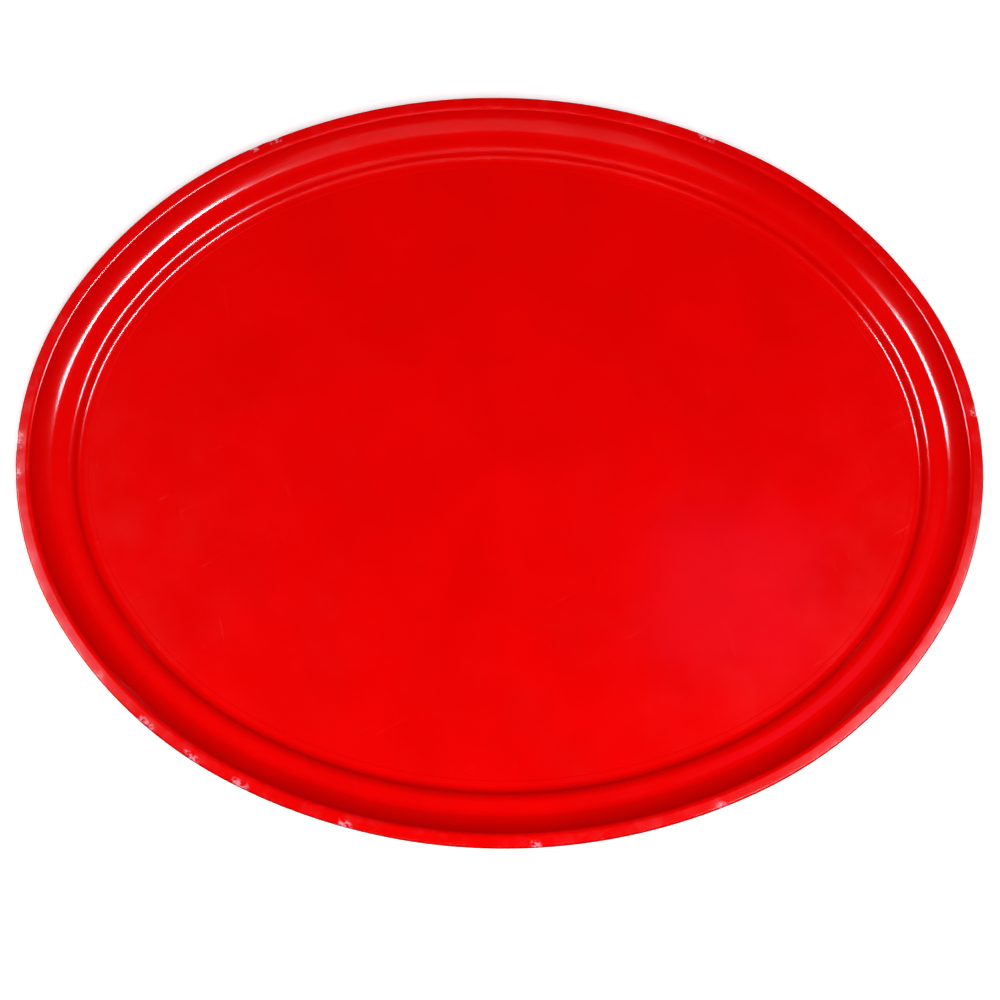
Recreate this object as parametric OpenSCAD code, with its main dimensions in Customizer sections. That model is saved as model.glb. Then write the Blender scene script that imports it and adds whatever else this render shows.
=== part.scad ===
// Oval serving tray, compression moulded in glass fibre and polyester resin.
// Five separate layers: gloss overlay, upper laminate, rim wire, lower laminate, base overlay.
// X runs along the tray, Y across it, Z up. The origin is on the table, under the middle.

/* [Tray] */
// Length over the lip
tray_l = 683; // [640:1:820]
// Width over the lip
tray_w = 559; // [520:1:620]
// Height from the table to the top of the lip
tray_h = 21; // [18:0.5:26]

/* [Lip] */
// Width of the lip's flat top
lip_flat = 5.4; // [4.5:0.1:9]
// Slope of the lip's top, falling outwards, in degrees
lip_fall = 2; // [0:0.5:5]
// Depth of the lip's outer face
lip_depth = 4.8; // [4.4:0.1:6]
// Radius of the lip's outer top corner
lip_outer_r = 1.2; // [0.8:0.1:1.6]
// Radius of the lip's inner edge
lip_inner_r = 4.5; // [3.7:0.1:5.4]

/* [Wall] */
// Steepest slope of the upper wall, in degrees
upper_slope = 44; // [38:1:50]
// Straight run at that slope below the lip's underside
run_below_lip = 0.4; // [0.2:0.1:1]
// Radius of the long hollow under the lip
hollow_r = 38; // [30:1:44]
// Slope where the hollow ends, in degrees
hollow_slope = 24; // [20:1:28]
// Radius of the tighter hollow that turns into the ledge
cove_r = 13; // [10:0.5:16]
// Slope of the ledge, in degrees
ledge_slope = 4; // [2:0.5:8]
// Straight run of the ledge
ledge_run = 5.4; // [4:0.1:9]
// Radius of the round shoulder under the ledge
shoulder_r = 10; // [8:0.5:12]
// Straight run of the lower wall at its steepest
lower_run = 0.5; // [0.2:0.1:1.5]
// Radius of the hollow at the foot of the wall
foot_r = 7.5; // [5:0.5:9]

/* [Floor] */
// Width of the flat border round the floor
border_w = 3; // [2:0.1:8]
// Depth of the fine step where the border meets the floor
step_h = 0.15; // [0.05:0.05:0.25]
// Width of that step
step_run = 0.45; // [0.2:0.05:0.8]

/* [Layers] */
// Thickness of the gloss overlay and of the base overlay
skin_t = 0.4; // [0.35:0.05:0.5]
// Thickness of each of the two laminates
ply_t = 1.1; // [0.9:0.05:1.2]
// Diameter of the aluminium wire in the lip
wire_d = 2.4; // [1.6:0.1:2.6]

/* [Hidden] */

red = [0.86, 0.02, 0.02];
resin = [0.72, 0.10, 0.08];
metal = [0.80, 0.81, 0.83];

sweep_fn = 180;
wire_fn = 32;
corner_steps = 6;
bend_steps = 8;
plate_steps = 8;
// How far the plate runs into the sections' flat ends
plate_lap = 2;

// Plan: the outline is eight arcs that meet in line, close to a true ellipse.
// The end arcs reach angle_1 from the long axis, the middle arcs angle_2, the side arcs the rest.
half_l = tray_l / 2;
half_w = tray_w / 2;
angle_1 = 32.55;
angle_2 = 63.27;
end_ease = 1.0253;
end_r = end_ease * half_w * half_w / half_l;
rest_l = half_l - end_r * (1 - cos(angle_1));
rest_w = half_w - end_r * sin(angle_1);
share_l = cos(angle_1) - cos(angle_2);
share_w = sin(angle_2) - sin(angle_1);
share_d = share_l * (1 - sin(angle_2)) - share_w * cos(angle_2);
middle_r = (rest_l * (1 - sin(angle_2)) - rest_w * cos(angle_2)) / share_d;
side_r = (rest_w * share_l - rest_l * share_w) / share_d;
end_c = [half_l - end_r, 0];
middle_c = end_c + (end_r - middle_r) * [cos(angle_1), sin(angle_1)];
side_c = [0, half_w - side_r];
// Each arc: centre, radius, and the angles that it starts and ends at
ARCS = [
    [end_c, end_r, -angle_1, angle_1],
    [middle_c, middle_r, angle_1, angle_2],
    [side_c, side_r, angle_2, 180 - angle_2],
    [[-middle_c[0], middle_c[1]], middle_r, 180 - angle_2, 180 - angle_1],
    [-end_c, end_r, 180 - angle_1, 180 + angle_1],
    [-middle_c, middle_r, 180 + angle_1, 180 + angle_2],
    [-side_c, side_r, 180 + angle_2, 360 - angle_2],
    [[middle_c[0], -middle_c[1]], middle_r, -angle_2, -angle_1]
];

// Section: w is the distance inwards from the outline, z the height above the table.
// A place on the section is [w, z, slope], with the slope in degrees, falling inwards.
floor_z = 2 * (skin_t + ply_t);
lip_z = tray_h - lip_depth;
mid_z = tray_h - lip_depth / 2;
wire_w = skin_t + wire_d / 2 + ply_t;

function go(p, run) = [p[0] + run * cos(p[2]), p[1] - run * sin(p[2]), p[2]];
function turn(p, r, to, n) = [for (i = [1:n])
    let (a = p[2] + (to - p[2]) * i / n)
    let (s = to > p[2] ? 1 : -1)
    [p[0] + s * r * (sin(a) - sin(p[2])), p[1] - s * r * (cos(p[2]) - cos(a)), a]];
function last(list) = list[len(list) - 1];

// The lip, from the foot of its outer face to the start of its inner edge
outer_foot = [0, lip_z, -90];
outer_face = [outer_foot, [0, tray_h - lip_outer_r - lip_flat * sin(lip_fall), -90]];
outer_corner = turn(last(outer_face), lip_outer_r, -lip_fall, corner_steps);
lip_top = [go(last(outer_corner), lip_flat)];
// The wall, from the lip's inner edge to the ledge; its straight run passes the lip's underside
lip_edge = turn(lip_top[0], lip_inner_r, upper_slope, corner_steps);
lip_reach = last(lip_edge)[1] - floor_z * cos(upper_slope) - lip_z;
upper_wall = [go(last(lip_edge), lip_reach / sin(upper_slope) + run_below_lip)];
hollow = turn(upper_wall[0], hollow_r, hollow_slope, bend_steps);
cove = turn(last(hollow), cove_r, ledge_slope, corner_steps);
ledge = [go(last(cove), ledge_run)];
// The lower wall is as steep as it takes to reach the floor, with its bends at their own radii
bends = shoulder_r * cos(ledge_slope) + foot_r - ledge[0][1] + floor_z;
reach = norm([shoulder_r + foot_r, lower_run]);
lower_slope = acos(bends / reach) - atan2(lower_run, shoulder_r + foot_r);
shoulder = turn(ledge[0], shoulder_r, lower_slope, bend_steps);
lower_wall = [go(last(shoulder), lower_run)];
foot = turn(lower_wall[0], foot_r, 0, bend_steps);
border = [go(last(foot), border_w)];
lip = concat(outer_face, outer_corner, lip_top);
wall = concat(upper_wall, hollow, cove, ledge, shoulder, lower_wall, foot, border);
step_w = last(border)[0];
plate_w = step_w + 2 * plate_lap;

// The same places moved into the material by a depth
function under(places, depth) = [for (p = places) [p[0] - depth * sin(p[2]), p[1] - depth * cos(p[2])]];
// Where the upper wall's underside, at a depth, meets the height h
function meet(depth, h) = let (e = under([last(lip_edge)], depth)[0])
    [e[0] + (e[1] - h) / tan(upper_slope), h];
function flip(list) = [for (i = [len(list) - 1:-1:0]) list[i]];

// The surfaces between the layers, each from the outline inwards
face_top = concat(under(concat(lip, lip_edge, wall), 0), [[step_w + step_run, floor_z - step_h],
    [plate_w, floor_z - step_h]]);
face_skin = concat(under(concat(lip, lip_edge, wall), skin_t), [[plate_w, floor_z - skin_t]]);
face_lip_skin = concat([[skin_t, mid_z]], under(concat([last(outer_face)], outer_corner, lip_top, lip_edge,
    wall), skin_t), [[plate_w, floor_z - skin_t]]);
face_mid = concat([[skin_t, mid_z], meet(skin_t + ply_t, mid_z)], under(wall, skin_t + ply_t),
    [[plate_w, floor_z - skin_t - ply_t]]);
face_low = concat([[skin_t, lip_z + skin_t], meet(skin_t + 2 * ply_t, lip_z + skin_t)],
    under(wall, skin_t + 2 * ply_t), [[plate_w, skin_t]]);
face_base = concat([[skin_t, lip_z], meet(2 * (skin_t + ply_t), lip_z)],
    under(wall, 2 * (skin_t + ply_t)), [[plate_w, 0]]);

// A layer: its section, swept along the eight arcs, and the flat plate that fills the middle
module layer_section(upper, lower) {
    polygon([for (p = concat(upper, flip(lower))) [-p[0], p[1]]]);
}

// A move in three steps: whole millimetres, thousandths and the rest, so that no digits are lost
module move(v) {
    whole = [for (x = v) floor(x)];
    fine = [for (x = v - whole) floor(1000 * x) / 1000];
    translate(whole)
        translate(fine)
            translate(v - whole - fine)
                children();
}

module sweep() {
    for (arc = ARCS)
        move([arc[0][0], arc[0][1], 0])
            rotate_extrude(angle = arc[3] - arc[2], start = arc[2], $fn = sweep_fn)
                move([arc[1], 0])
                    children();
}

module plate(z, t) {
    translate([0, 0, z])
        linear_extrude(t)
            polygon([for (arc = ARCS)
                for (i = [0:plate_steps - 1])
                    let (a = arc[2] + (arc[3] - arc[2]) * i / plate_steps)
                    arc[0] + (arc[1] - plate_w + plate_lap) * [cos(a), sin(a)]]);
}

module wire_section(r) {
    translate([-wire_w, mid_z])
        circle(r, $fn = wire_fn);
}

module top_overlay() {
    color(red) {
        sweep()
            layer_section(face_top, face_skin);
        plate(floor_z - skin_t, skin_t - step_h);
    }
}

module upper_laminate() {
    color(resin) {
        sweep()
            difference() {
                layer_section(face_lip_skin, face_mid);
                wire_section(wire_d / 2);
            }
        plate(floor_z - skin_t - ply_t, ply_t);
    }
}

module rim_wire() {
    color(metal)
        sweep()
            wire_section(wire_d / 2);
}

module lower_laminate() {
    color(resin) {
        sweep()
            difference() {
                layer_section(face_mid, face_low);
                wire_section(wire_d / 2);
            }
        plate(skin_t, ply_t);
    }
}

module base_overlay() {
    color(red) {
        sweep()
            layer_section(face_low, face_base);
        plate(0, skin_t);
    }
}

top_overlay();
upper_laminate();
rim_wire();
lower_laminate();
base_overlay();
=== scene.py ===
"""Oval serving tray, moulded in glass fibre and gloss red resin, on a pale studio floor.

The moulded wall is a thin section swept along eight arcs. The top and bottom sheets are modelled here,
each as a closed shell, and take the place of the CAD's plain ones. Lengths are in metres.
"""
import math

import bmesh
import bpy
from mathutils import Matrix, Vector


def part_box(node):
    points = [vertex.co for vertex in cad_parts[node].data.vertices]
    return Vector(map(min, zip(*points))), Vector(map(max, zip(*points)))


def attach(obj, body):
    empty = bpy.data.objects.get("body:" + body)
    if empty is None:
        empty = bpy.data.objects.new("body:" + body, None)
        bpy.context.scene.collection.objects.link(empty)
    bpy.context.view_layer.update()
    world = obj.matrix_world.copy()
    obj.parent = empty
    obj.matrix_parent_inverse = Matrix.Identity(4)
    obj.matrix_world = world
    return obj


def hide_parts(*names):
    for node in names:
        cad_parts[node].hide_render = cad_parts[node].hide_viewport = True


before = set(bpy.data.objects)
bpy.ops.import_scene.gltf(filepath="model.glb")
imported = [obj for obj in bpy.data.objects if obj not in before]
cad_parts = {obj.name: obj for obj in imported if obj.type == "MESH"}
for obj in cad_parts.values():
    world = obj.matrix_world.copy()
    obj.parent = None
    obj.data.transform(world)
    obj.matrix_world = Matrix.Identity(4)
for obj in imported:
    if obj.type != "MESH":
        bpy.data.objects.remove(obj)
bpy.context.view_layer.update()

MM = 0.001
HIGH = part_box("top_overlay")[1]
HALF_L = HIGH.x
HALF_W = 279.5 * MM
TOP_Z = HIGH.z
LIP_DEPTH = 4.8 * MM
LIP_Z = TOP_Z - LIP_DEPTH

# Plan of the outline: three radii a quarter, which change at these angles from the long axis
ANGLE_1 = math.radians(32.55)
ANGLE_2 = math.radians(63.27)
END_EASE = 1.0253

# Section of the wall, from the lip inwards: slopes fall inwards, and a bend has the top surface's radius
SKIN = 0.4 * MM
PLY = 1.1 * MM
WALL = 2 * (SKIN + PLY)
LIP_FALL = math.radians(2)
LIP_OUTER_R = 1.2 * MM
LIP_FLAT = 5.4 * MM
LIP_INNER_R = 4.5 * MM
UPPER_SLOPE = math.radians(44)
RUN_BELOW_LIP = 0.4 * MM
HOLLOW_R = 38 * MM
HOLLOW_SLOPE = math.radians(24)
COVE_R = 13 * MM
LEDGE_SLOPE = math.radians(4)
LEDGE_RUN = 5.4 * MM
SHOULDER_R = 10 * MM
LOWER_RUN = 0.5 * MM
FOOT_R = 7.5 * MM
BORDER = 3.0 * MM
STEP = 0.15 * MM
STEP_RUN = 0.45 * MM
UNDER_LIP_R = 1.0 * MM

# Distances under which two places count as one
SAME_PLACE = 0.01 * MM
WELD = 0.005 * MM


# ---- shaping tools ----

def edit(piece):
    """Edit mode on one piece, with nothing in it selected."""
    bpy.ops.object.select_all(action="DESELECT")
    bpy.context.view_layer.objects.active = piece
    piece.select_set(True)
    bpy.ops.object.mode_set(mode="EDIT")
    bpy.ops.mesh.select_mode(type="VERT")
    bpy.ops.mesh.select_all(action="DESELECT")


def done():
    bpy.ops.object.mode_set(mode="OBJECT")


def pick(piece, test):
    """Selects the vertices that pass the test, and their edges and faces."""
    shape = bmesh.from_edit_mesh(piece.data)
    for v in shape.verts:
        v.select = test(v)
    shape.select_flush(True)
    shape.select_flush(False)
    bmesh.update_edit_mesh(piece.data)


def apply_all(piece):
    bpy.context.view_layer.objects.active = piece
    for m in list(piece.modifiers):
        bpy.ops.object.modifier_apply(modifier=m.name)


# ---- the wall's section ----

def bend_length(r, a, b):
    """From a corner to the end of a round bend of radius r put on it."""
    return r * math.tan(abs(b - a) / 2)


def fall(r, a, b):
    """How far a bend of radius r takes the section down or up."""
    return r * abs(math.cos(b) - math.cos(a))


# The straight run of the upper wall ends just below the lip's underside
EDGE_FALL = fall(LIP_INNER_R, -LIP_FALL, UPPER_SLOPE)
LIP_REACH = TOP_Z - LIP_Z - EDGE_FALL - WALL * math.cos(UPPER_SLOPE)
UPPER_RUN = LIP_REACH / math.sin(UPPER_SLOPE) + RUN_BELOW_LIP

# The lower wall is as steep as it takes to reach the floor
UPPER_FALL = EDGE_FALL + UPPER_RUN * math.sin(UPPER_SLOPE) + fall(HOLLOW_R, UPPER_SLOPE, HOLLOW_SLOPE)
LEDGE_FALL = fall(COVE_R, HOLLOW_SLOPE, LEDGE_SLOPE) + LEDGE_RUN * math.sin(LEDGE_SLOPE)
FALL_LEFT = TOP_Z - WALL - UPPER_FALL - LEDGE_FALL
BENDS = SHOULDER_R * math.cos(LEDGE_SLOPE) + FOOT_R - FALL_LEFT
REACH = math.hypot(SHOULDER_R + FOOT_R, LOWER_RUN)
LOWER_SLOPE = math.acos(BENDS / REACH) - math.atan2(LOWER_RUN, SHOULDER_R + FOOT_R)

SLOPES = [-LIP_FALL, UPPER_SLOPE, HOLLOW_SLOPE, LEDGE_SLOPE, LOWER_SLOPE, 0]
RADII = [LIP_INNER_R, HOLLOW_R, COVE_R, SHOULDER_R, FOOT_R]
RUNS = [LIP_FLAT, UPPER_RUN, 0, LEDGE_RUN, LOWER_RUN]
LIP_CORNER = bend_length(LIP_OUTER_R, math.radians(-90), -LIP_FALL)
LIP_CORNER_Z = TOP_Z - LIP_OUTER_R - LIP_FLAT * math.sin(LIP_FALL) + LIP_CORNER


def wall_corners(depth):
    """Corners of the section as (inwards, up, radius), for the surface that far under the top one."""
    w, z, before = 0, LIP_CORNER_Z, LIP_CORNER
    out = []
    for r, run, a, b in zip(RADII, RUNS, SLOPES, SLOPES[1:]):
        after = bend_length(r, a, b)
        w += (before + run + after) * math.cos(a)
        z -= (before + run + after) * math.sin(a)
        shift = depth / math.cos((b - a) / 2)
        mean = (a + b) / 2
        radius = r - math.copysign(depth, b - a)
        out.append((w - shift * math.sin(mean), z - shift * math.cos(mean), radius))
        before = after
    return out


BORDER_W = wall_corners(0)[-1][0] + bend_length(FOOT_R, LOWER_SLOPE, 0) + BORDER


def top_corners():
    """The top sheet's outside, from the foot of the lip's outer face to the floor."""
    lip = [(0, LIP_Z, 0), (0, LIP_CORNER_Z, LIP_OUTER_R)]
    ends = [(BORDER_W, WALL, 0), (BORDER_W + STEP_RUN, WALL - STEP, 0)]
    return lip + wall_corners(0) + ends


def base_corners():
    """The bottom sheet's outside: level under the lip, then down the wall to the flat underside."""
    corners = wall_corners(WALL)
    w, z, _ = corners[1]
    under_lip = (w - (LIP_Z - z) / math.tan(UPPER_SLOPE), LIP_Z, UNDER_LIP_R)
    return [(SKIN, LIP_Z, 0), under_lip] + corners[1:] + [(BORDER_W, 0, 0)]


def section_wire(name, corners, steps):
    """The section as a bare line over the tray's end, drawn corner by corner, with its bends rounded."""
    bpy.ops.mesh.primitive_plane_add(size=MM)
    piece = bpy.context.object
    piece.name = piece.data.name = name
    edit(piece)
    bpy.ops.mesh.select_all(action="SELECT")
    bpy.ops.mesh.merge(type="CENTER")
    places = [Vector((HALF_L - w, 0, z)) for w, z, _ in corners]
    bpy.ops.transform.translate(value=places[0])
    for a, b in zip(places, places[1:]):
        bpy.ops.mesh.extrude_region_move(TRANSFORM_OT_translate={"value": b - a})
    for i, (_, _, r) in enumerate(corners):
        if r:
            a = (places[i] - places[i - 1]).angle(places[i + 1] - places[i])
            pick(piece, lambda v: (v.co - places[i]).length < SAME_PLACE)
            start = r * math.tan(a / 2)
            bpy.ops.mesh.bevel(affect="VERTICES", offset=start, segments=steps, profile=0.5)
    done()
    return piece


# ---- the plan ----

def plan_arcs():
    """Centre, radius and turn of each arc in order, from the +X end all the way round."""
    end_r = END_EASE * HALF_W ** 2 / HALF_L
    c1, s1 = math.cos(ANGLE_1), math.sin(ANGLE_1)
    c2, s2 = math.cos(ANGLE_2), math.sin(ANGLE_2)
    rest_l = HALF_L - end_r * (1 - c1)
    rest_w = HALF_W - end_r * s1
    share = (c1 - c2) * (1 - s2) - (s2 - s1) * c2
    middle_r = (rest_l * (1 - s2) - rest_w * c2) / share
    side_r = (rest_w * (c1 - c2) - rest_l * (s2 - s1)) / share
    end = Vector((HALF_L - end_r, 0, 0))
    middle = end + (end_r - middle_r) * Vector((c1, s1, 0))
    side = Vector((0, HALF_W - side_r, 0))
    flip_x, flip_y = Vector((-1, 1, 1)), Vector((1, -1, 1))
    middle_turn, side_turn = ANGLE_2 - ANGLE_1, math.pi - 2 * ANGLE_2
    return [
        (end, end_r, ANGLE_1),
        (middle, middle_r, middle_turn),
        (side, side_r, side_turn),
        (middle * flip_x, middle_r, middle_turn),
        (-end, end_r, 2 * ANGLE_1),
        (-middle, middle_r, middle_turn),
        (-side, side_r, side_turn),
        (middle * flip_y, middle_r, middle_turn),
        (end, end_r, ANGLE_1),
    ]


def sweep(piece, step):
    """Spins the section along the arcs, one after the other, and joins the last to the first."""
    edit(piece)
    bpy.ops.mesh.select_all(action="SELECT")
    for centre, r, turn in plan_arcs():
        steps = max(2, round(r * turn / step))
        bpy.ops.mesh.spin(steps=steps, angle=turn, center=centre, axis=(0, 0, -1))
    bpy.ops.mesh.select_all(action="SELECT")
    bpy.ops.mesh.remove_doubles(threshold=WELD)
    done()


# The floor's rings take up this share of the way to the middle; a bend sharper than this keeps its edge
FLOOR_RINGS = 9
RINGS_SPAN = 0.9
SHARP_BEND = math.radians(15)


def fill_floor(piece, z):
    """Rings of faces across the hole in the middle, each smaller than the one before, and a last face."""
    edit(piece)
    pick(piece, lambda v: v.is_boundary and abs(v.co.z - z) < SAME_PLACE)
    for i in range(FLOOR_RINGS):
        left = 1 - RINGS_SPAN * i / FLOOR_RINGS
        next_left = 1 - RINGS_SPAN * (i + 1) / FLOOR_RINGS
        bpy.ops.mesh.extrude_region_move()
        bpy.ops.transform.resize(value=(next_left / left, next_left / left, 1), center_override=(0, 0, z))
    bpy.ops.mesh.edge_face_add()
    done()


def sheet(name, corners, step, bend_steps, upwards):
    """A closed sheet one skin thick: its outer surface is swept, filled and given its thickness."""
    piece = section_wire(name, corners, bend_steps)
    sweep(piece, step)
    fill_floor(piece, corners[-1][1])
    edit(piece)
    bpy.ops.mesh.select_all(action="SELECT")
    bpy.ops.mesh.normals_make_consistent(inside=False)
    shape = bmesh.from_edit_mesh(piece.data)
    middle = min(shape.faces, key=lambda f: f.calc_center_median().to_2d().length)
    if (middle.normal.z > 0) != upwards:
        bpy.ops.mesh.flip_normals()
    done()
    wall = piece.modifiers.new("thickness", "SOLIDIFY")
    wall.thickness = SKIN
    wall.offset = -1
    wall.use_even_offset = True
    apply_all(piece)
    bpy.ops.object.shade_smooth_by_angle(angle=SHARP_BEND)
    piece.modifiers.new("even_shading", "WEIGHTED_NORMAL").keep_sharp = True
    apply_all(piece)
    return piece


# ---- materials ----

class Paint:
    """A material whose pattern is laid in the piece's own coordinates."""

    def __init__(self, name, roughness, metallic=0.0):
        self.mat = bpy.data.materials.new(name)
        self.mat.use_nodes = True
        self.nodes = self.mat.node_tree.nodes
        self.links = self.mat.node_tree.links
        self.shader = self.nodes["Principled BSDF"]
        self.shader.inputs["Roughness"].default_value = roughness
        self.shader.inputs["Metallic"].default_value = metallic
        self.place = self.nodes.new("ShaderNodeTexCoord").outputs["Object"]

    def turned(self, angle, stretch):
        """The coordinates turned about the upright axis, with a pattern drawn out where stretch is small."""
        node = self.nodes.new("ShaderNodeMapping")
        node.vector_type = "TEXTURE"
        node.inputs["Rotation"].default_value = (0, 0, math.radians(angle))
        node.inputs["Scale"].default_value = [1 / s for s in stretch]
        self.links.new(self.place, node.inputs["Vector"])
        return node.outputs["Vector"]

    def noise(self, per_metre, detail=3.0, rough=0.5, at=None):
        node = self.nodes.new("ShaderNodeTexNoise")
        node.inputs["Scale"].default_value = per_metre
        node.inputs["Detail"].default_value = detail
        node.inputs["Roughness"].default_value = rough
        self.links.new(at or self.place, node.inputs["Vector"])
        return node.outputs["Fac"]

    def cells(self, per_metre, at):
        """How far it is to the border of the cell; small along the borders."""
        node = self.nodes.new("ShaderNodeTexVoronoi")
        node.feature = "DISTANCE_TO_EDGE"
        node.inputs["Scale"].default_value = per_metre
        self.links.new(at, node.inputs["Vector"])
        return node.outputs["Distance"]

    def spread(self, value, low, high, to_low=0.0, to_high=1.0):
        """The value's range from low to high, carried over to another range."""
        node = self.nodes.new("ShaderNodeMapRange")
        node.inputs["From Min"].default_value = low
        node.inputs["From Max"].default_value = high
        node.inputs["To Min"].default_value = to_low
        node.inputs["To Max"].default_value = to_high
        self.links.new(value, node.inputs["Value"])
        return node.outputs["Result"]

    def sum(self, a, b, kind="ADD"):
        """Two values put together in the way that kind names."""
        node = self.nodes.new("ShaderNodeMath")
        node.operation = kind
        for value, socket in zip((a, b), node.inputs):
            if isinstance(value, (int, float)):
                socket.default_value = value
            else:
                self.links.new(value, socket)
        return node.outputs["Value"]

    def marked(self, name):
        """The mesh's own mark of that name."""
        node = self.nodes.new("ShaderNodeAttribute")
        node.attribute_name = name
        return node.outputs["Fac"]

    def height(self):
        node = self.nodes.new("ShaderNodeSeparateXYZ")
        self.links.new(self.place, node.inputs["Vector"])
        return node.outputs["Z"]

    def slope(self):
        """1 on level faces, 0 on upright ones."""
        node = self.nodes.new("ShaderNodeSeparateXYZ")
        facing = self.nodes.new("ShaderNodeNewGeometry").outputs["True Normal"]
        self.links.new(facing, node.inputs["Vector"])
        return self.sum(node.outputs["Z"], 0, "ABSOLUTE")

    def blend(self, amount, low, high):
        """A colour from low to high; each is a colour or a blend made before."""
        node = self.nodes.new("ShaderNodeMix")
        node.data_type = "RGBA"
        self.links.new(amount, node.inputs["Factor"])
        for value, name in ((low, "A"), (high, "B")):
            socket = next(s for s in node.inputs if s.name == name and s.type == "RGBA")
            if isinstance(value, tuple):
                socket.default_value = (*value, 1)
            else:
                self.links.new(value, socket)
        return next(s for s in node.outputs if s.type == "RGBA")

    def relief(self, value, depth):
        node = self.nodes.new("ShaderNodeBump")
        node.inputs["Distance"].default_value = depth
        self.links.new(value, node.inputs["Height"])
        return node.outputs["Normal"]

    def finish(self, colour, roughness, normal):
        self.links.new(colour, self.shader.inputs["Base Color"])
        self.links.new(roughness, self.shader.inputs["Roughness"])
        self.links.new(normal, self.shader.inputs["Normal"])
        return self.mat


def scratches(p, angles, per_metre):
    """Fine straight scratches in several directions: 1 in a scratch, 0 elsewhere."""
    found = None
    for angle in angles:
        line = p.spread(p.noise(per_metre, 2.0, 0.5, p.turned(angle, (1, 0.03, 1))), 0.70, 0.76)
        found = p.sum(found, line, "MAXIMUM") if found else line
    return found


def glass_strands(p, layers):
    """Borders of long narrow cells, one layer over the other: 1 on a strand of glass, 0 elsewhere."""
    found = None
    for per_metre, angle, stretch, width in layers:
        line = p.spread(p.cells(per_metre, p.turned(angle, stretch)), 0.02, width, 1, 0)
        found = p.sum(found, line, "MAXIMUM") if found else line
    return found


def gloss_red():
    """Gloss resin over chopped glass: a slightly uneven gloss, fine scratches, a worn lip, painted shade on
    the steep walls and painted glints on the lip's knocks.
    """
    p = Paint("gloss_red_resin", 0.1)
    marks = scratches(p, (14, -58), 700)
    lip = p.spread(p.height(), TOP_Z - 1.6 * MM, TOP_Z - 0.3 * MM)
    worn = p.sum(lip, p.spread(p.noise(90, 5.0, 0.65), 0.48, 0.68), "MULTIPLY")
    # Painted shade: the red is darkened where the wall is steep, and most of all above the ledge
    painted_steep_shade = p.spread(p.slope(), 0.70, 0.97, 0.62, 0)
    wall = p.sum(painted_steep_shade, p.spread(p.height(), 8 * MM, 14 * MM, 0.72, 1), "MULTIPLY")
    colour = p.blend(p.spread(p.noise(14, 3.0), 0.35, 0.65), RED, RED_LIGHT)
    colour = p.blend(wall, colour, RED_PAINTED_SHADE)
    colour = p.blend(p.sum(worn, 0.10, "MULTIPLY"), colour, RED_WORN)
    # Painted glints: pale pink spots, only where a knock has pressed the lip down, stand in for glints on
    # the dents
    glint_speckle = p.spread(p.noise(420, 2.0, 0.6), 0.46, 0.56)
    painted_glint = p.sum(p.marked("knocked"), glint_speckle, "MULTIPLY")
    pressed = p.spread(p.height(), TOP_Z - 0.22 * MM, TOP_Z - 0.12 * MM, 1, 0)
    painted_glint = p.sum(painted_glint, pressed, "MULTIPLY")
    colour = p.blend(p.sum(painted_glint, 0.8, "MULTIPLY"), colour, RED_PAINTED_GLINT)
    rough = p.spread(p.noise(22, 3.0, 0.6), 0.3, 0.7, *GLOSS)
    rough = p.sum(rough, p.sum(marks, 0.08, "MULTIPLY"))
    rough = p.sum(rough, p.sum(worn, 0.03, "MULTIPLY"))
    relief = p.sum(p.noise(9, 0.0), p.sum(p.noise(200, 0.0), 0.015, "MULTIPLY"))
    return p.finish(colour, rough, p.relief(relief, 0.10 * MM))


def base_red():
    """Satin resin on the underside: the glass mat shows through, and the floor is scuffed where it rests."""
    p = Paint("satin_red_resin", 0.4)
    layers = [
        (95, 35, (1, 0.22, 1), 0.16),
        (110, -40, (1, 0.25, 1), 0.16),
        (80, 86, (1, 0.2, 1), 0.14),
    ]
    strands = glass_strands(p, layers)
    marks = scratches(p, (5, 50, -28), 600)
    resting = p.spread(p.height(), 0.1 * MM, 0.9 * MM, 1, 0)
    scuffed = p.sum(resting, p.spread(p.noise(30, 6.0, 0.7), 0.44, 0.66), "MULTIPLY")
    scuffed = p.sum(scuffed, p.sum(resting, marks, "MULTIPLY"), "MAXIMUM")
    colour = p.blend(p.spread(p.noise(16, 4.0), 0.35, 0.65), UNDER_RED, UNDER_LIGHT)
    colour = p.blend(p.sum(strands, 0.30, "MULTIPLY"), colour, UNDER_DEEP)
    colour = p.blend(p.sum(scuffed, 0.35, "MULTIPLY"), colour, UNDER_SCUFFED)
    rough = p.spread(p.noise(40, 5.0, 0.6), 0.3, 0.7, *SATIN)
    rough = p.sum(rough, p.sum(scuffed, 0.16, "MULTIPLY"))
    relief = p.sum(p.noise(200, 2.0), p.sum(strands, 1.5, "MULTIPLY"))
    return p.finish(colour, rough, p.relief(relief, 0.02 * MM))


def glass_mat():
    """Chopped strands of glass in red polyester, as seen on a bare or broken edge."""
    p = Paint("glass_mat_laminate", 0.6)
    strands = glass_strands(p, [(240, 20, (1, 0.2, 3), 0.14), (220, -61, (1, 0.2, 3), 0.14)])
    colour = p.blend(p.noise(60, 4.0), RESIN_DEEP, RESIN_RED)
    colour = p.blend(p.sum(strands, 0.5, "MULTIPLY"), colour, STRAND_PALE)
    rough = p.spread(p.noise(120), 0.3, 0.7, 0.52, 0.70)
    return p.finish(colour, rough, p.relief(strands, 0.04 * MM))


def drawn_wire():
    """Aluminium wire with the long marks of the drawing die."""
    p = Paint("drawn_aluminium", 0.35, 1.0)
    lines = p.noise(500, 3.0, 0.6, p.turned(0, (0.05, 0.05, 4)))
    colour = p.blend(lines, WIRE_GREY, WIRE_BRIGHT)
    return p.finish(colour, p.spread(lines, 0.3, 0.7, 0.28, 0.42), p.relief(lines, 0.01 * MM))


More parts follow.
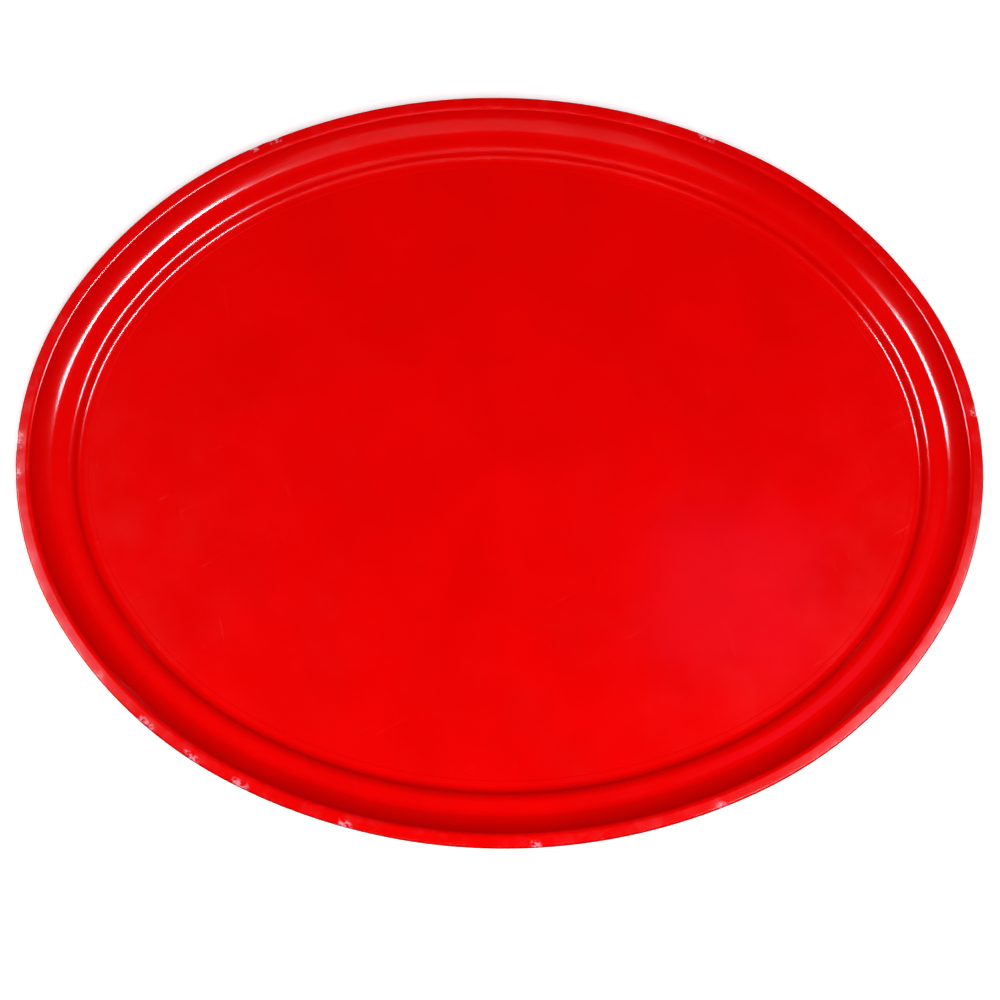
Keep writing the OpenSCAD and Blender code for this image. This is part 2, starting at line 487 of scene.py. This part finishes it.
# Colours of the resin, the glass and the wire, and the range of roughness of the two finishes
GLOSS = (0.09, 0.14)
SATIN = (0.34, 0.46)
RED = (0.86, 0.0, 0.0)
RED_LIGHT = (0.93, 0.0, 0.0)
# Painted shade for the steep walls
RED_PAINTED_SHADE = (0.50, 0.0, 0.0)
RED_WORN = (0.95, 0.05, 0.07)
# Painted glint on the knocked lip
RED_PAINTED_GLINT = (1.0, 0.36, 0.48)
UNDER_RED = (0.62, 0.004, 0.004)
UNDER_LIGHT = (0.70, 0.008, 0.007)
UNDER_DEEP = (0.34, 0.003, 0.003)
UNDER_SCUFFED = (0.72, 0.20, 0.17)
RESIN_DEEP = (0.30, 0.012, 0.010)
RESIN_RED = (0.42, 0.025, 0.018)
STRAND_PALE = (0.60, 0.16, 0.10)
WIRE_GREY = (0.62, 0.63, 0.65)
WIRE_BRIGHT = (0.80, 0.81, 0.83)


def use(piece, mat):
    piece.data.materials.clear()
    piece.data.materials.append(mat)


# ---- the tray ----

# Small knocks on the lip's outer edge: angle from the long axis, then length and depth in millimetres
KNOCKS = [
    (-85, 7, 0.22),
    (-107, 9, 0.20),
    (-120, 12, 0.25),
    (-127, 14, 0.22),
    (-134, 10, 0.25),
    (-143, 8, 0.20),
    (-175, 6, 0.20),
    (180, 9, 0.25),
    (123, 6, 0.20),
    (120.5, 9, 0.25),
    (64, 12, 0.22),
    (7.7, 8, 0.25),
    (-63, 6, 0.18),
]
PUSH_DOWN = 0.8
KNOCK_REACH = 20 * MM
CORNER_SPARE = 0.3 * MM


def knock(piece, angle, length, depth):
    """Presses a short stretch of the lip's outer corner in and down, on the outer surface only."""
    a = math.radians(angle)
    place = Vector((HALF_L * math.cos(a), HALF_W * math.sin(a), TOP_Z - 0.5 * MM))
    push = Vector((-math.cos(a), -math.sin(a), -PUSH_DOWN)) * depth * MM
    corner_z = TOP_Z - LIP_OUTER_R - CORNER_SPARE
    limit = LIP_OUTER_R + 2 * CORNER_SPARE
    out = Vector((math.cos(a) / HALF_L, math.sin(a) / HALF_W, 0)).normalized()

    def near(v):
        off = v.co - place
        along = (off - out * off.dot(out)).to_2d().length
        outer = (v.co.x / HALF_L) ** 2 + (v.co.y / HALF_W) ** 2 > 1 - 2 * limit / HALF_L
        return along < length * MM / 2 and off.length < KNOCK_REACH and outer and v.co.z > corner_z

    pick(piece, near)
    bpy.ops.transform.translate(value=push)
    shape = bmesh.from_edit_mesh(piece.data)
    knocked = shape.verts.layers.float.get("knocked")
    for v in shape.verts:
        if v.select:
            v[knocked] = 1
    bmesh.update_edit_mesh(piece.data)


def top_sheet():
    """The gloss sheet: floor, wall and lip in one, knocked here and there on the lip's outer corner."""
    piece = sheet("top_sheet", top_corners(), 3 * MM, 8, True)
    piece.data.attributes.new("knocked", "FLOAT", "POINT")
    edit(piece)
    for angle, length, depth in KNOCKS:
        knock(piece, angle, length, depth)
    done()
    use(piece, gloss_red())
    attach(piece, "root")
    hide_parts("top_overlay")


def base_sheet():
    """The satin sheet on the underside, up to the lip's outer edge."""
    piece = sheet("base_sheet", base_corners(), 5 * MM, 6, False)
    use(piece, base_red())
    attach(piece, "root")
    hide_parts("base_overlay")


# ---- the studio ----

GROUND_SIZE = 16
GROUND_GLOW = 0.4


def studio():
    """A wide white floor with a slight glow of its own, which leaves no mirror image in the tray."""
    bpy.ops.mesh.primitive_plane_add(size=GROUND_SIZE)
    ground = bpy.context.object
    ground.name = "studio_floor"
    p = Paint("studio_white", 0.9)
    p.shader.inputs["Base Color"].default_value = (0.95, 0.95, 0.95, 1)
    p.shader.inputs["Emission Color"].default_value = (1, 1, 1, 1)
    p.shader.inputs["Emission Strength"].default_value = GROUND_GLOW
    use(ground, p.mat)
    ground.visible_glossy = False


def lamp(name, ends, width, power, tint=(1, 1, 1), mirrored=True, lights_up=True):
    """A rectangular lamp from one end point to the other, turned towards the tray; power in watts."""
    a, b = Vector(ends[0]), Vector(ends[1])
    data = bpy.data.lights.new(name, "AREA")
    data.shape = "RECTANGLE"
    data.size = width
    data.size_y = (b - a).length
    data.energy = power
    data.color = tint
    lit = bpy.data.objects.new(name, data)
    bpy.context.collection.objects.link(lit)
    lit.location = (a + b) / 2
    across = (b - a).cross(lit.location).normalized()
    along = (b - a).normalized()
    lit.rotation_euler = Matrix((across, along, across.cross(along))).transposed().to_euler()
    lit.visible_glossy = mirrored
    lit.visible_diffuse = lights_up


# Strength of the air as a soft fill and in mirror images, and the tints of the lamps
FILL = 0.05
MIRRORED = 0.005
PINK = (1.0, 0.84, 0.93)
ROSE = (1.0, 0.35, 1.0)


def lights():
    """A broad soft light above that leaves no mirror image, and strips whose reflections draw the bends."""
    lamp("overhead_soft", ((0.1, -1.22, 1.5), (0.1, -0.32, 1.9)), 1.0, 36, mirrored=False)
    lamp("right_strip", ((0.52, -0.39, 1.75), (1.17, 0.47, 1.75)), 0.24, 31, PINK, lights_up=False)
    lamp("left_strip", ((-0.84, -0.05, 1.75), (-1.18, 0.62, 1.75)), 0.24, 22, PINK, lights_up=False)
    lamp("faint_panel", ((0.26, 0.46, 2.0), (0.52, 0.46, 2.0)), 0.24, 0.05, ROSE, lights_up=False)


def air():
    """White air to the eye and for soft fill, and nearly black to reflections, as in a draped studio."""
    world = bpy.data.worlds.new("studio_air")
    world.use_nodes = True
    nodes, links = world.node_tree.nodes, world.node_tree.links
    path = nodes.new("ShaderNodeLightPath")
    level = nodes.new("ShaderNodeMapRange")
    level.inputs["To Min"].default_value = FILL
    level.inputs["To Max"].default_value = MIRRORED
    seen = nodes.new("ShaderNodeMath")
    seen.operation = "MAXIMUM"
    links.new(path.outputs["Is Glossy Ray"], level.inputs["Value"])
    links.new(level.outputs["Result"], seen.inputs[0])
    links.new(path.outputs["Is Camera Ray"], seen.inputs[1])
    links.new(seen.outputs["Value"], nodes["Background"].inputs["Strength"])
    nodes["Background"].inputs["Color"].default_value = (1, 1, 1, 1)
    bpy.context.scene.world = world


# The camera's sensor and lens in millimetres, its height angle and distance, and its small turns
SENSOR, LENS = 36, 79.2
VIEW_UP = math.radians(70.94)
VIEW_FAR = 1.554
AIM = Vector((0.0007, -0.0358, 0))
ROLL = math.radians(1.27)


def camera():
    data = bpy.data.cameras.new("camera")
    data.sensor_width = SENSOR
    data.lens = LENS
    eye = bpy.data.objects.new("camera", data)
    bpy.context.collection.objects.link(eye)
    rim = Vector((0, 0, TOP_Z))
    eye.location = rim + VIEW_FAR * Vector((0, -math.cos(VIEW_UP), math.sin(VIEW_UP)))
    look = (rim + AIM - eye.location).to_track_quat("-Z", "Y")
    eye.rotation_euler = (look.to_matrix() @ Matrix.Rotation(ROLL, 3, "Z")).to_euler()
    bpy.context.scene.camera = eye


top_sheet()
base_sheet()
for node in ("upper_laminate", "lower_laminate"):
    use(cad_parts[node], glass_mat())
use(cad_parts["rim_wire"], drawn_wire())
studio()
lights()
air()
camera()
bpy.context.scene.view_settings.view_transform = "Standard"
